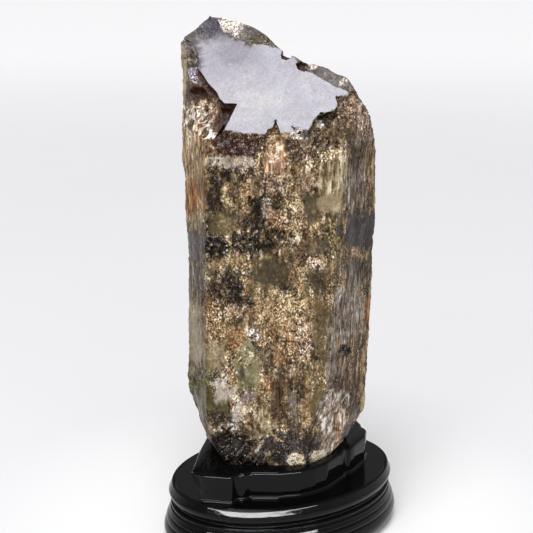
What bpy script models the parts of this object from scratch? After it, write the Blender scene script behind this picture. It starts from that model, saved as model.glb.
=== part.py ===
"""A tall smoky quartz crystal standing in the socket of a black lacquered oval stand.

The crystal is a six-sided prism with one large sloping termination face at the front and three
lesser ones behind it. Its front shoulders are broken down in steps, its prism faces are lumpy
and streaked lengthwise, and its root is chipped to a blunt wedge that sits in the stand.
The stand is a turned, moulded oval foot with a raised collar cut into lobes round the socket.

Metres, +Z up. The origin is on the surface that the stand rests on, under the stand's centre;
-Y is the front.
"""

import math

import bmesh
import bpy
from mathutils import Matrix, Vector, noise

MM = 0.001

# Stand
TOP_LONG_RADIUS = 61.4 * MM
TOP_SHORT_RADIUS = 45.8 * MM
STAND_TURN = math.radians(30.0)
STAND_TOP = 32.0 * MM
COLLAR_TOP = 47.0 * MM
SOCKET_FLOOR = 37.0 * MM
SOCKET_GAP = 0.8 * MM
TURNED_STEPS = 64

# Crystal prism: its six corners in plan, from the front left one round to the left one
PRISM_CORNERS = ((-38.5, -36.0), (27.0, -36.0), (48.3, -1.0), (27.0, 40.0), (-21.0, 40.0), (-50.0, -1.0))
PRISM_LEANS = (0.0, 1.3, 1.3, 0.0, 0.0, 0.0)
LEAN_TOP = 207.0 * MM
APEX = Vector((-36.5, 8.1, 274.1)) * MM
SHOULDER = Vector((37.1, -19.9, 238.5)) * MM
FACE_SLOPE = math.radians(51.8)
FACE_FOOT = Vector((0.0, -33.5, 221.2)) * MM
FACE_ROUGH_STOCK = 5.0 * MM
BAND_FOOT = Vector((0.0, -36.0, 207.5)) * MM
ROOT_BOTTOM = 37.4 * MM
LONGEST_EDGE = 9.0 * MM
FLAT_ANGLE = math.radians(0.5)

# Surface relief of the crystal, and the place in the noise that it is read from
RELIEF_ORIGIN = Vector((33.0, -176.0, 198.0)) * MM
LUMP_SIZE = 26.0 * MM
LUMP_HEIGHT = 1.9 * MM
CHIP_SIZE = 16.0 * MM
CHIP_HEIGHT = 1.3 * MM
STREAK_WIDTH = 9.0 * MM
STREAK_LENGTH = 70.0 * MM
STREAK_HEIGHT = 1.0 * MM
WEAR = 0.3 * MM
CALM_SOCKET_HEIGHT = 9.0 * MM


def clear_scene():
    for obj in list(bpy.data.objects):
        bpy.data.objects.remove(obj, do_unlink=True)


def new_collection(name):
    collection = bpy.data.collections.new(name)
    bpy.context.scene.collection.children.link(collection)
    return collection


def make_material(name, colour, roughness, metallic=0.0):
    material = bpy.data.materials.new(name)
    material.use_nodes = True
    shader = material.node_tree.nodes["Principled BSDF"]
    shader.inputs["Base Color"].default_value = (*colour, 1.0)
    shader.inputs["Roughness"].default_value = roughness
    shader.inputs["Metallic"].default_value = metallic
    material.diffuse_color = (*colour, 1.0)
    return material


def object_from(bm, name, collection, material=None):
    bmesh.ops.recalc_face_normals(bm, faces=bm.faces)
    mesh = bpy.data.meshes.new(name)
    bm.to_mesh(mesh)
    bm.free()
    if material:
        mesh.materials.append(material)
    obj = bpy.data.objects.new(name, mesh)
    collection.objects.link(obj)
    return obj


def boolean(target, other, operation="DIFFERENCE"):
    modifier = target.modifiers.new(f"{operation.lower()} {other.name}", "BOOLEAN")
    modifier.operation = operation
    modifier.solver = "EXACT"
    modifier.object = other
    other.hide_render = True
    other.display_type = "WIRE"


def keep_inside(bm, point, outward):
    """Cuts the mesh off flat at a plane."""
    bmesh.ops.bisect_plane(
        bm, geom=bm.verts[:] + bm.edges[:] + bm.faces[:], plane_co=point, plane_no=outward, clear_outer=True
    )
    bmesh.ops.holes_fill(bm, edges=[edge for edge in bm.edges if edge.is_boundary])


def cut_block(planes):
    """The solid that is left of a large block inside every plane, each a point and an outward direction."""
    bm = bmesh.new()
    bmesh.ops.create_cube(bm, size=1.0)
    for point, outward in planes:
        keep_inside(bm, point, outward)
    return bm


def slab(outline, bottom, top):
    """A flat outline of (x, y) points in metres, raised from bottom to top."""
    bm = bmesh.new()
    ring = [bm.verts.new((x, y, bottom)) for x, y in outline]
    bmesh.ops.contextual_create(bm, geom=ring)
    raised = bmesh.ops.extrude_face_region(bm, geom=bm.faces[:])["geom"]
    bmesh.ops.translate(
        bm, verts=[item for item in raised if isinstance(item, bmesh.types.BMVert)], vec=(0, 0, top - bottom)
    )
    return bm


# ---------------------------------------------------------------- crystal


def prism_planes(outset=0.0):
    """The six sides, of which two draw in a little towards the root."""
    planes = []
    for i, start in enumerate(PRISM_CORNERS):
        a = Vector((*start, 0.0)) * MM
        b = Vector((*PRISM_CORNERS[(i + 1) % len(PRISM_CORNERS)], 0.0)) * MM
        along = b - a
        outward = Vector((along.y, -along.x, 0.0)).normalized()
        point = a + outward * outset + Vector((0.0, 0.0, LEAN_TOP))
        outward.z = -math.tan(math.radians(PRISM_LEANS[i]))
        planes.append((point, outward.normalized()))
    return planes


def face_normal():
    return Vector((0.0, -math.sin(FACE_SLOPE), math.cos(FACE_SLOPE)))


def termination_planes():
    """Stock for the large front face, the steep band under it, and the faces that fall away behind it."""
    return [
        (FACE_FOOT + face_normal() * FACE_ROUGH_STOCK, face_normal()),
        (BAND_FOOT, Vector((0.0, -0.984, 0.180))),
        (APEX, Vector((0.472, 0.545, 0.693))),
        (APEX, Vector((-0.725, 0.440, 0.529))),
        (SHOULDER, Vector((0.788, 0.194, 0.583)).normalized()),
        (SHOULDER, Vector((0.949, -0.253, 0.186))),
    ]


def root_planes(outset=0.0):
    """The broken lower end: a long chip at the left, smaller ones round it, each a point and a direction."""
    rows = [
        ((-50.0, -1.0, 85.0), (-0.950, -0.240, -0.200)),
        ((-33.1, -17.5, 47.0), (-0.870, -0.300, -0.390)),
        ((0.0, -36.0, 76.0), (0.0, -0.977, -0.214)),
        ((19.5, -29.8, 47.0), (0.781, -0.331, -0.527)),
        ((24.3, -16.8, 47.0), (0.706, -0.669, -0.231)),
        ((37.2, -3.2, 47.0), (0.886, -0.323, -0.332)),
        ((38.0, 21.0, 72.0), (0.800, 0.480, -0.360)),
        ((0.0, 40.0, 80.0), (0.050, 0.950, -0.308)),
        ((-34.0, 22.0, 78.0), (-0.760, 0.540, -0.362)),
    ]
    planes = []
    for point, direction in rows:
        outward = Vector(direction).normalized()
        planes.append((Vector(point) * MM + outward * outset, outward))
    return planes


def split_long_edges(bm, longest):
    """Triangles whose sides are all shorter than longest, which still lie on the same flat faces."""
    bmesh.ops.triangulate(bm, faces=bm.faces[:])
    while True:
        long_edges = [edge for edge in bm.edges if edge.calc_length() > longest]
        if not long_edges:
            return
        bmesh.ops.subdivide_edges(bm, edges=long_edges, cuts=1)
        bmesh.ops.triangulate(bm, faces=[face for face in bm.faces if len(face.verts) > 3])
        flat_edges = [edge for edge in bm.edges if edge.calc_face_angle(math.pi) < FLAT_ANGLE]
        bmesh.ops.beautify_fill(bm, faces=bm.faces[:], edges=flat_edges)


def relief(point):
    """How far the worn surface stands out at a point of the ideal crystal."""
    place = point + RELIEF_ORIGIN
    lumps = noise.noise(place / LUMP_SIZE)
    chips = noise.voronoi(place / CHIP_SIZE)[0][0] - 0.45
    streaks = noise.noise(Vector((place.x / STREAK_WIDTH, place.y / STREAK_WIDTH, place.z / STREAK_LENGTH)))
    height = LUMP_HEIGHT * lumps - CHIP_HEIGHT * chips + STREAK_HEIGHT * streaks - WEAR
    calm = min(1.0, max(0.15, (point.z - COLLAR_TOP) / CALM_SOCKET_HEIGHT))
    return height * calm


def weather(bm):
    bm.normal_update()
    moves = [vert.normal * relief(vert.co) for vert in bm.verts]
    for vert, move in zip(bm.verts, moves):
        vert.co += move


# Steps broken out of the front face: (name, outline across and up the face in mm, depth in mm)
LEFT_STEP = (
    (-60.0, 44.0), (-41.8, 44.0), (-40.8, 35.0), (-36.8, 28.2), (-30.8, 18.6), (-28.8, 16.3), (-22.6, 16.3),
    (-28.6, 1.1), (-31.5, -1.0), (-33.5, -9.0), (-60.0, -9.0),
)
LEFT_POCKET = ((-60.0, 27.4), (-39.2, 27.4), (-33.0, 17.5), (-36.0, 15.5), (-44.0, 17.0), (-60.0, 19.0))
RIGHT_STEP = (
    (26.6, 12.6), (24.9, 20.1), (31.2, 20.6), (33.0, 24.0), (60.0, 24.0), (60.0, -20.0), (10.0, -20.0), (11.5, 1.0),
    (15.5, 9.0),
)
RIGHT_WEDGE = ((15.5, 9.0), (19.4, 11.5), (26.6, 12.6), (24.0, 8.0))
SPIKE_NOTCH = ((-4.2, 7.6), (-7.3, 1.6), (-9.0, -6.0), (2.5, -6.0), (-1.2, 0.5))
SLIVER_NOTCH = ((3.4, 3.5), (11.5, 1.3), (5.5, -0.8))
CREST_PIT = ((-0.5, 47.0), (3.6, 43.4), (1.6, 40.8), (-0.2, 42.5))
CREST_BITE = ((6.2, 38.8), (11.0, 40.0), (12.5, 36.0), (9.0, 34.6))
FACE_STEPS = (
    ("left_step", LEFT_STEP, 3.2),
    ("left_pocket", LEFT_POCKET, 7.5),
    ("right_step", RIGHT_STEP, 2.6),
    ("right_wedge", RIGHT_WEDGE, 5.0),
    ("spike_notch", SPIKE_NOTCH, 3.0),
    ("sliver_notch", SLIVER_NOTCH, 1.4),
    ("crest_pit", CREST_PIT, 4.0),
    ("crest_bite", CREST_BITE, 3.0),
)
STEP_CLEARANCE = 14.0 * MM

# Shell-like chips in the sides: (name, middle in mm, way it faces, depth in mm)
CHIP_RADIUS = 17.0
CHIPS = (
    ("front_left", (-19.5, -36.5, 102.0), (0.15, -1.0, 0.1), 2.2),
    ("front_left_low", (-30.0, -35.5, 86.0), (-0.3, -1.0, -0.2), 2.0),
    ("front_right_high", (25.5, -36.0, 187.0), (0.35, -1.0, 0.0), 1.8),
    ("right_high", (40.5, -14.0, 175.0), (0.86, -0.5, 0.0), 1.6),
    ("right_low", (36.5, -16.0, 72.0), (0.8, -0.6, -0.1), 1.4),
    ("back", (6.0, 40.5, 150.0), (0.0, 1.0, 0.1), 2.2),
    ("back_left", (-36.0, 20.0, 190.0), (-0.82, 0.57, 0.0), 1.8),
)


def step_cutter(name, outline, depth, collection):
    """A slab standing on the front face and reaching depth below it."""
    bm = slab([(x * MM, y * MM) for x, y in outline], -depth * MM, STEP_CLEARANCE)
    lean = Matrix.Rotation(FACE_SLOPE, 4, "X")
    bm.transform(Matrix.Translation(FACE_FOOT) @ lean)
    return object_from(bm, f"cut_{name}", collection)


def chip_cutter(name, middle, facing, depth, collection):
    """A ball that sinks depth into the side at its middle."""
    bm = bmesh.new()
    bmesh.ops.create_icosphere(bm, subdivisions=2, radius=CHIP_RADIUS * MM)
    centre = Vector(middle) + Vector(facing).normalized() * (CHIP_RADIUS - depth)
    bm.transform(Matrix.Translation(centre * MM))
    return object_from(bm, f"chip_{name}", collection)


def make_crystal(parts, cutters, material):
    bottom = (Vector((0, 0, ROOT_BOTTOM)), Vector((0, 0, -1)))
    bm = cut_block(prism_planes() + termination_planes() + root_planes() + [bottom])
    split_long_edges(bm, LONGEST_EDGE)
    weather(bm)
    keep_inside(bm, FACE_FOOT, face_normal())
    crystal = object_from(bm, "crystal", parts, material)
    for name, outline, depth in FACE_STEPS:
        boolean(crystal, step_cutter(name, outline, depth, cutters))
    for name, middle, facing, depth in CHIPS:
        boolean(crystal, chip_cutter(name, middle, facing, depth, cutters))
    return crystal


# ---------------------------------------------------------------- stand

# Moulding of the foot: (distance from the centre along the long radius, height) in mm
FOOT_PROFILE = (
    (0.0, 32.0), (60.8, 32.0), (61.4, 31.4), (62.0, 31.7), (63.2, 31.0), (64.0, 29.4), (64.3, 27.5), (63.7, 25.3),
    (62.4, 23.7), (61.4, 22.7), (61.4, 21.7), (63.0, 21.0), (63.4, 20.0), (62.8, 19.1), (62.8, 18.4), (64.3, 17.6),
    (64.6, 16.6), (64.2, 15.8), (65.3, 14.2), (66.0, 12.4), (65.9, 11.5), (66.7, 10.3), (67.4, 8.4), (67.5, 6.5),
    (66.8, 4.4), (65.2, 2.9), (63.2, 2.2), (62.4, 1.6), (62.0, 0.0), (0.0, 0.0),
)

# Collar in plan at its top and at its foot, in mm, from the front left corner round
COLLAR_TOP_OUTLINE = (
    (-47.4, -38.4), (-26.6, -44.5), (-16.6, -38.8), (-2.4, -39.0), (9.0, -36.3), (17.0, -32.0), (23.8, -26.4),
    (31.0, -15.7), (39.2, -4.6), (46.3, 8.2), (47.6, 16.5), (43.5, 30.0), (33.0, 40.0), (19.0, 44.0), (-8.0, 42.0),
    (-23.0, 36.0), (-35.0, 25.0), (-40.0, 15.0), (-44.2, -10.0),
)
FRONT_LEFT_FOOT = (-41.0, -42.0)
FOOT_TAPER = 0.985
# Flutes between the lobes: (x, y, radius) in mm
FLUTES = (
    (-21.4, -44.6, 4.2), (37.6, -12.0, 4.5), (49.5, 23.0, 4.5), (26.0, 45.6, 4.5), (-16.5, 43.5, 4.5),
    (-43.0, 21.5, 4.5),
)
FLUTE_BEVEL_SIDES = 20


def make_turned_foot(material, parts):
    mesh = bpy.data.meshes.new("stand")
    points = [(x * MM, 0.0, z * MM) for x, z in FOOT_PROFILE]
    mesh.from_pydata(points, [(i, i + 1) for i in range(len(points) - 1)], [])
    mesh.materials.append(material)
    foot = bpy.data.objects.new("stand", mesh)
    parts.objects.link(foot)
    turn = foot.modifiers.new("turned", "SCREW")
    turn.steps = TURNED_STEPS
    turn.render_steps = TURNED_STEPS
    turn.use_merge_vertices = True
    turn.merge_threshold = 0.0001 * MM
    foot.scale = (1.0, TOP_SHORT_RADIUS / TOP_LONG_RADIUS, 1.0)
    foot.rotation_euler = (0.0, 0.0, STAND_TURN)
    return foot


def make_collar(cutters):
    """The raised collar, a little narrower at its foot than at its top, so that its lobes lean outwards."""
    bm = slab([(x * MM, y * MM) for x, y in COLLAR_TOP_OUTLINE], STAND_TOP - 1.0 * MM, COLLAR_TOP)
    corner = Vector((*COLLAR_TOP_OUTLINE[0], 0.0)) * MM
    for vert in bm.verts:
        if vert.co.z > STAND_TOP:
            continue
        if (vert.co.xy - corner.xy).length < 0.1 * MM:
            vert.co.xy = Vector(FRONT_LEFT_FOOT) * MM
        else:
            vert.co.xy *= FOOT_TAPER
    return object_from(bm, "collar", cutters)


def make_flute(index, x, y, radius, cutters):
    bm = bmesh.new()
    bmesh.ops.create_cone(
        bm, cap_ends=True, segments=FLUTE_BEVEL_SIDES, radius1=radius * MM, radius2=radius * MM, depth=30.0 * MM
    )
    bmesh.ops.translate(bm, verts=bm.verts, vec=(x * MM, y * MM, STAND_TOP + 15.0 * MM))
    return object_from(bm, f"flute_{index}", cutters)


def make_socket(cutters):
    """The crystal's root, a little larger all round, with a flat floor and cut off above the collar."""
    floor = (Vector((0, 0, SOCKET_FLOOR)), Vector((0, 0, -1)))
    lid = (Vector((0, 0, COLLAR_TOP + 20.0 * MM)), Vector((0, 0, 1)))
    bm = cut_block(prism_planes(SOCKET_GAP) + root_planes(SOCKET_GAP) + [floor, lid])
    return object_from(bm, "socket", cutters)


def make_stand(parts, cutters, material):
    stand = make_turned_foot(material, parts)
    collar = make_collar(cutters)
    for index, (x, y, radius) in enumerate(FLUTES):
        boolean(collar, make_flute(index, x, y, radius, cutters))
    boolean(stand, collar, "UNION")
    boolean(stand, make_socket(cutters))
    return stand


def main():
    clear_scene()
    parts = new_collection("smoky quartz crystal on stand")
    cutters = new_collection("cutters")
    smoky_quartz = make_material("smoky quartz", (0.27, 0.21, 0.15), 0.35)
    black_lacquer = make_material("black lacquer", (0.012, 0.011, 0.013), 0.12)
    make_crystal(parts, cutters, smoky_quartz)
    make_stand(parts, cutters, black_lacquer)


main()
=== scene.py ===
"""Looks for the smoky quartz crystal on its black lacquered stand.

The crystal is cut from the same planes and steps as its solid, made fine, coloured in layers and
worn. Marks on its sides are listed as boxes read off the photograph, and are laid where the camera
sees them, on what faces it. The stand is a smooth turned foot with a lofted collar. Lengths are in
mm, and each piece is scaled to metres last.
"""

import math

import bmesh
import bpy
import numpy as np
from mathutils import Euler, Matrix, Quaternion, Vector, noise


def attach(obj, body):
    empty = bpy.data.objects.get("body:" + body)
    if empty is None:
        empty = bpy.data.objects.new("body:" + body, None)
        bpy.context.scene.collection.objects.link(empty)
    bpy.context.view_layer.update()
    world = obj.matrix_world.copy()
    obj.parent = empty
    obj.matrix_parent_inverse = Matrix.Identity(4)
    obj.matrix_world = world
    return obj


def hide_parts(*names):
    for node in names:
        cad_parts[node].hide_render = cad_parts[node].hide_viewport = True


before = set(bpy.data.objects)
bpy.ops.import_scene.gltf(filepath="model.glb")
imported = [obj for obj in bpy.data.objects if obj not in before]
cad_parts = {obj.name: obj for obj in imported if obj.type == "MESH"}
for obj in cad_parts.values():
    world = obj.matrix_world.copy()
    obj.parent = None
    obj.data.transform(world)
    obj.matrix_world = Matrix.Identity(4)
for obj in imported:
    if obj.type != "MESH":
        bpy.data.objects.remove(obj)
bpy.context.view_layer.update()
# Blender takes the time as this seed otherwise, and noise_vector follows it
noise.seed_set(1)

MM = 0.001

# ---- camera

PHOTO_SIDE = 533.0
CAMERA_PLACE = Vector((-8.3, -602.4, 311.8))
CAMERA_DOWN = math.radians(15.41)
FOCAL_PIXELS = 1198.0
SENSOR_MM = 36.0
CLIP = (0.01, 50.0)


def put(name, data):
    """Adds an object to the scene."""
    obj = bpy.data.objects.new(name, data)
    bpy.context.scene.collection.objects.link(obj)
    return obj


def make_camera():
    data = bpy.data.cameras.new("camera")
    data.sensor_width = SENSOR_MM
    data.lens = SENSOR_MM * FOCAL_PIXELS / PHOTO_SIDE
    data.clip_start, data.clip_end = CLIP
    camera = put("camera", data)
    camera.location = CAMERA_PLACE * MM
    camera.rotation_euler = Euler((math.radians(90.0) - CAMERA_DOWN, 0.0, 0.0))
    bpy.context.scene.camera = camera


def seen_at(points):
    """Where the camera sees each point, in pixels of the photograph."""
    forward = np.array((0.0, math.cos(CAMERA_DOWN), -math.sin(CAMERA_DOWN)))
    up = np.array((0.0, math.sin(CAMERA_DOWN), math.cos(CAMERA_DOWN)))
    away = points - np.array(CAMERA_PLACE)
    depth = away @ forward
    across = FOCAL_PIXELS * away[:, 0] / depth
    over = FOCAL_PIXELS * (away @ up) / depth
    return PHOTO_SIDE / 2 + across, PHOTO_SIDE / 2 - over


# ---- crystal: the form, in mm

PRISM_CORNERS = ((-38.5, -36.0), (27.0, -36.0), (48.3, -1.0), (27.0, 40.0), (-21.0, 40.0), (-50.0, -1.0))
PRISM_LEANS = (0.0, 1.3, 1.3, 0.0, 0.0, 0.0)
LEAN_TOP = 207.0
APEX = Vector((-36.5, 8.1, 274.1))
SHOULDER = Vector((37.1, -19.9, 238.5))
FACE_SLOPE = math.radians(51.8)
FACE_FOOT = Vector((0.0, -33.5, 221.2))
FACE_NORMAL = Vector((0.0, -math.sin(FACE_SLOPE), math.cos(FACE_SLOPE)))
FACE_UP = Vector((0.0, math.cos(FACE_SLOPE), math.sin(FACE_SLOPE)))
FACE_ROUGH_STOCK = 5.0
BAND_FOOT = Vector((0.0, -36.0, 207.5))
BAND_NORMAL = Vector((0.0, -0.984, 0.18))
SHOULDER_PLANE = (SHOULDER, Vector((0.788, 0.194, 0.583)).normalized())
TERMINATION = (
    (FACE_FOOT + FACE_NORMAL * FACE_ROUGH_STOCK, FACE_NORMAL),
    (BAND_FOOT, BAND_NORMAL),
    (APEX, Vector((0.472, 0.545, 0.693))),
    (APEX, Vector((-0.725, 0.44, 0.529))),
    SHOULDER_PLANE,
    (SHOULDER, Vector((0.949, -0.253, 0.186))),
)
ROOT_BOTTOM = 37.4
COLLAR_TOP = 47.0
SOCKET_FLOOR = 37.0
SOCKET_GAP = 0.8
FORM_EDGE = 4.0
FINE_EDGE = 1.5
FINE_ROUNDS = 3
FLAT_ANGLE = math.radians(0.5)

RELIEF_ORIGIN = Vector((33.0, -176.0, 198.0))
LUMP_SIZE, LUMP_HEIGHT = 26.0, 1.9
CHIP_SIZE, CHIP_HEIGHT, CHIP_LEVEL = 16.0, 1.3, 0.45
STREAK_WIDTH, STREAK_LENGTH, STREAK_HEIGHT = 9.0, 70.0, 1.0
WEAR = 0.3
CALM_SOCKET_HEIGHT, CALMEST = 9.0, 0.15
# The swell of the ridge behind the smooth face, between the apex and the pit in the crest
CREST_MIDDLE, CREST_REACH, CREST_FOOT, CREST_DEPTH, CREST_RISE = -18.0, 19.0, 36.0, 15.0, 2.7

ROOT_FACETS = (
    ((-50.0, -1.0, 85.0), (-0.95, -0.24, -0.2)),
    ((-33.1, -17.5, 47.0), (-0.87, -0.3, -0.39)),
    ((0.0, -36.0, 76.0), (0.0, -0.977, -0.214)),
    ((19.5, -29.8, 47.0), (0.781, -0.331, -0.527)),
    ((24.3, -16.8, 47.0), (0.706, -0.669, -0.231)),
    ((37.2, -3.2, 47.0), (0.886, -0.323, -0.332)),
    ((38.0, 21.0, 72.0), (0.8, 0.48, -0.36)),
    ((0.0, 40.0, 80.0), (0.05, 0.95, -0.308)),
    ((-34.0, 22.0, 78.0), (-0.76, 0.54, -0.362)),
)

# The smooth part of the front face, across and up its slope, from the apex round by the right
PALE_OUTLINE = (
    (-49.2, 53.7), (-44.6, 60.0), (-40.2, 66.5), (-36.5, 66.6), (-33.2, 64.7), (-28.2, 56.0),
    (-24.7, 53.7), (-20.3, 51.6), (-15.9, 50.2), (-10.5, 49.9), (-5.1, 48.5), (-1.2, 46.8), (0.2, 45.1),
    (-0.5, 43.7), (0.3, 41.8), (2.0, 42.3), (3.6, 43.2), (5.7, 42.7), (6.9, 40.4), (6.7, 38.5),
    (7.6, 36.1), (10.4, 34.6), (14.9, 33.2), (19.2, 29.5), (24.1, 26.7), (28.4, 24.3), (31.4, 22.9),
    (31.1, 20.4), (24.9, 20.1), (26.2, 15.1), (24.1, 12.3), (20.9, 11.4), (17.4, 11.4), (16.1, 9.5),
    (14.0, 7.3), (12.8, 2.3), (11.4, 1.2), (3.3, 3.9), (5.8, -0.6), (3.7, -3.1), (0.9, -2.2), (-1.1, -1.3),
    (-2.9, 3.9), (-4.0, 7.7), (-5.7, 2.3), (-7.8, 2.0), (-9.5, -3.0), (-30.4, -3.0), (-22.9, 14.8),
    (-22.4, 15.9), (-28.6, 16.2), (-31.0, 18.7), (-32.5, 22.5), (-36.9, 27.6), (-40.0, 33.2),
    (-42.4, 34.8), (-41.3, 41.6), (-43.1, 46.5), (-45.1, 51.2),
)
SURROUND_OUTLINE = ((-90.0, -40.0), (90.0, -40.0), (90.0, 110.0), (-90.0, 110.0))
SURROUND_DEPTH = 0.9
FACE_NEAR = 0.35
STEP_CLEARANCE = 14.0

# What is broken out of the face: how deep, and its outline across and up the slope
FACE_STEPS = {
    "left_step": (3.2, (
        (-60.0, 44.0), (-41.8, 44.0), (-41.8, 36.0), (-38.9, 32.0), (-36.8, 27.9), (-32.4, 22.7),
        (-30.8, 18.9), (-28.5, 16.6), (-22.7, 16.2), (-29.0, 0.6), (-31.5, -1.0), (-33.5, -9.0),
        (-60.0, -9.0),
    )),
    "left_pocket": (7.5, (
        (-60.0, 27.4), (-39.2, 27.4), (-33.0, 17.5), (-36.0, 15.5), (-44.0, 17.0), (-60.0, 19.0),
    )),
    "left_slot": (6.0, ((-30.6, 15.6), (-22.9, 15.4), (-29.6, 0.0), (-33.5, -1.5), (-28.6, 7.0))),
    "right_step": (2.6, (
        (26.4, 14.8), (25.0, 20.0), (31.2, 20.4), (33.0, 24.0), (60.0, 24.0), (60.0, -20.0),
        (10.0, -20.0), (11.5, 1.0), (13.0, 2.3), (14.2, 7.2), (16.2, 9.4), (24.2, 12.1),
    )),
    "right_wedge": (5.0, ((15.5, 9.0), (19.4, 11.5), (26.6, 12.6), (24.0, 8.0))),
    "spike_notch": (3.0, (
        (-4.0, 7.6), (-5.8, 2.2), (-9.0, -0.5), (-9.0, -6.0), (2.5, -6.0), (0.8, -2.0), (-1.2, -1.0),
    )),
    "sliver_notch": (1.8, ((3.4, 3.8), (11.3, 1.2), (5.9, -0.6))),
    "crest_pit": (4.0, ((-1.3, 44.4), (-0.9, 41.3), (1.4, 40.6), (3.4, 41.7), (4.9, 44.6), (0.6, 47.6))),
    "crest_bite": (3.0, ((5.9, 38.9), (6.9, 35.4), (10.1, 33.9), (13.4, 36.6), (9.2, 40.6))),
}

# Shallow round chips: where, which way the surface faces there, and how deep
CHIP_RADIUS, CHIP_ROUNDS = 17.0, 4
CHIPS = (
    ((-19.5, -36.5, 102.0), (0.15, -1.0, 0.1), 2.2),
    ((-30.0, -35.5, 86.0), (-0.3, -1.0, -0.2), 2.0),
    ((25.5, -36.0, 187.0), (0.35, -1.0, 0.0), 1.8),
    ((40.5, -14.0, 175.0), (0.86, -0.5, 0.0), 1.6),
    ((36.5, -16.0, 72.0), (0.8, -0.6, -0.1), 1.4),
    ((6.0, 40.5, 150.0), (0.0, 1.0, 0.1), 2.2),
    ((-36.0, 20.0, 190.0), (-0.82, 0.57, 0.0), 1.8),
)


def keep_inside(bm, point, outward):
    bmesh.ops.bisect_plane(
        bm, geom=bm.verts[:] + bm.edges[:] + bm.faces[:], plane_co=point, plane_no=outward, clear_outer=True
    )
    bmesh.ops.holes_fill(bm, edges=[edge for edge in bm.edges if edge.is_boundary])


def cut_block(planes):
    bm = bmesh.new()
    bmesh.ops.create_cube(bm, size=1000.0)
    for point, outward in planes:
        keep_inside(bm, point, outward)
    return bm


def prism_planes(outset=0.0):
    planes = []
    for i, start in enumerate(PRISM_CORNERS):
        a = Vector((*start, 0.0))
        b = Vector((*PRISM_CORNERS[(i + 1) % len(PRISM_CORNERS)], 0.0))
        along = b - a
        outward = Vector((along.y, -along.x, 0.0)).normalized()
        point = a + outward * outset + Vector((0.0, 0.0, LEAN_TOP))
        outward.z = -math.tan(math.radians(PRISM_LEANS[i]))
        planes.append((point, outward.normalized()))
    return planes


def root_planes(outset=0.0):
    planes = []
    for point, direction in ROOT_FACETS:
        outward = Vector(direction).normalized()
        planes.append((Vector(point) + outward * outset, outward))
    return planes


def halve_edges(bm, longest):
    """Halves the edges over a length, and says whether there were any."""
    long_edges = [edge for edge in bm.edges if edge.calc_length() > longest]
    if long_edges:
        bmesh.ops.subdivide_edges(bm, edges=long_edges, cuts=1)
        bmesh.ops.triangulate(bm, faces=[face for face in bm.faces if len(face.verts) > 3])
    return bool(long_edges)


def split_long_edges(bm, longest):
    bmesh.ops.triangulate(bm, faces=bm.faces[:])
    while halve_edges(bm, longest):
        flat_edges = [edge for edge in bm.edges if edge.calc_face_angle(math.pi) < FLAT_ANGLE]
        bmesh.ops.beautify_fill(bm, faces=bm.faces[:], edges=flat_edges)


def crest_swell(point):
    """How far the ridge behind the smooth face bulges at a point."""
    from_foot = point - FACE_FOOT
    below, rise = -from_foot.dot(FACE_NORMAL), from_foot.dot(FACE_UP)
    along = (point.x - CREST_MIDDLE) / CREST_REACH
    if rise < CREST_FOOT or below > CREST_DEPTH or abs(along) > 1.0:
        return 0.0
    return CREST_RISE * (1.0 - along**2) * (1.0 - max(0.0, below) / CREST_DEPTH)


def relief(point):
    place = point + RELIEF_ORIGIN
    lumps = noise.noise(place / LUMP_SIZE)
    chips = noise.voronoi(place / CHIP_SIZE)[0][0] - CHIP_LEVEL
    streak_place = (place.x / STREAK_WIDTH, place.y / STREAK_WIDTH, place.z / STREAK_LENGTH)
    streaks = noise.noise(Vector(streak_place))
    height = LUMP_HEIGHT * lumps - CHIP_HEIGHT * chips + STREAK_HEIGHT * streaks - WEAR
    calm = min(1.0, max(CALMEST, (point.z - COLLAR_TOP) / CALM_SOCKET_HEIGHT))
    return height * calm + crest_swell(point)


def weather(bm):
    bm.normal_update()
    moves = [vert.normal * relief(vert.co) for vert in bm.verts]
    for vert, move in zip(bm.verts, moves):
        vert.co += move


def to_mesh(bm, name):
    """Turns working geometry into a mesh and frees it."""
    bmesh.ops.recalc_face_normals(bm, faces=bm.faces)
    mesh = bpy.data.meshes.new(name)
    bm.to_mesh(mesh)
    bm.free()
    return mesh


def helper(bm, name):
    return put(name, to_mesh(bm, name))


def slab(outline, bottom, top, hole=None):
    """A flat outline raised from bottom to top, with an optional hole of another outline."""
    bm = bmesh.new()
    edges = []
    for ring in (outline, hole or ()):
        verts = [bm.verts.new((x, y, bottom)) for x, y in ring]
        edges += [bm.edges.new((verts[i], verts[(i + 1) % len(verts)])) for i in range(len(verts))]
    bmesh.ops.triangle_fill(bm, edges=edges, use_beauty=True, use_dissolve=False)
    raised = bmesh.ops.extrude_face_region(bm, geom=bm.faces[:])["geom"]
    moved = [item for item in raised if isinstance(item, bmesh.types.BMVert)]
    bmesh.ops.translate(bm, verts=moved, vec=(0, 0, top - bottom))
    return bm


def on_face(bm):
    """Stands a shape drawn in the XY plane on the front face."""
    bm.transform(Matrix.Translation(FACE_FOOT) @ Matrix.Rotation(FACE_SLOPE, 4, "X"))
    return bm


def in_order(mesh):
    """The same mesh with its faces in a fixed order: the Boolean's own order changes from run to run."""
    faces = []
    for face in mesh.polygons:
        corners = list(face.vertices)
        first = corners.index(min(corners))
        faces.append(corners[first:] + corners[:first])
    ordered = bpy.data.meshes.new(mesh.name)
    ordered.from_pydata([vert.co for vert in mesh.vertices], [], sorted(faces))
    return ordered


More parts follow.
